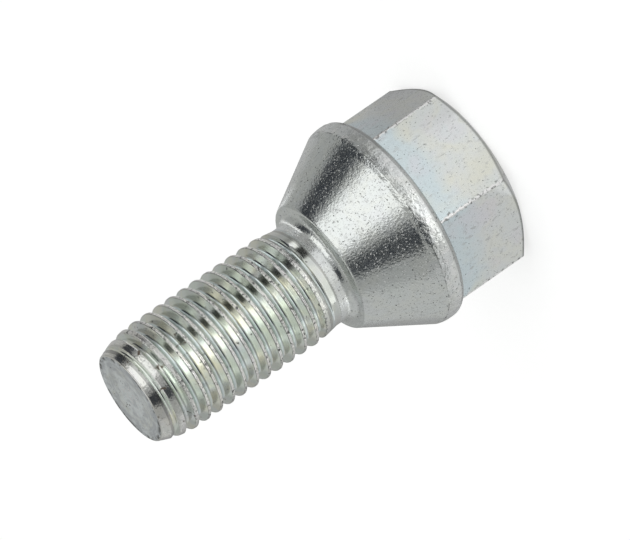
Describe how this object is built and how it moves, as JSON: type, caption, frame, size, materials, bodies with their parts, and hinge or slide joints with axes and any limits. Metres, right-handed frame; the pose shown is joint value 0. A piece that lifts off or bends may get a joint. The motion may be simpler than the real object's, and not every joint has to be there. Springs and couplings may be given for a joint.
{
  "type": "wheel bolt",
  "caption": "Car wheel bolt with a hexagon head, a round collar, a conical seat and a rolled fine thread, in bright zinc.",
  "frame": {"origin": "centre of the end face of the hexagon, the lowest place of the bolt as it stands on its head", "axes": "+Z along the bolt's axis towards the tip of the thread, +X through a corner of the hexagon"},
  "size_m": [0.0228, 0.0228, 0.0422],
  "materials": {
    "zinc": "bright zinc plating with a clear blue passivation, satin on the seat and the hexagon, smooth on the thread's flanks"
  },
  "bodies": {
    "root": {"wheel_bolt": "zinc"}
  },
  "joints": []
}
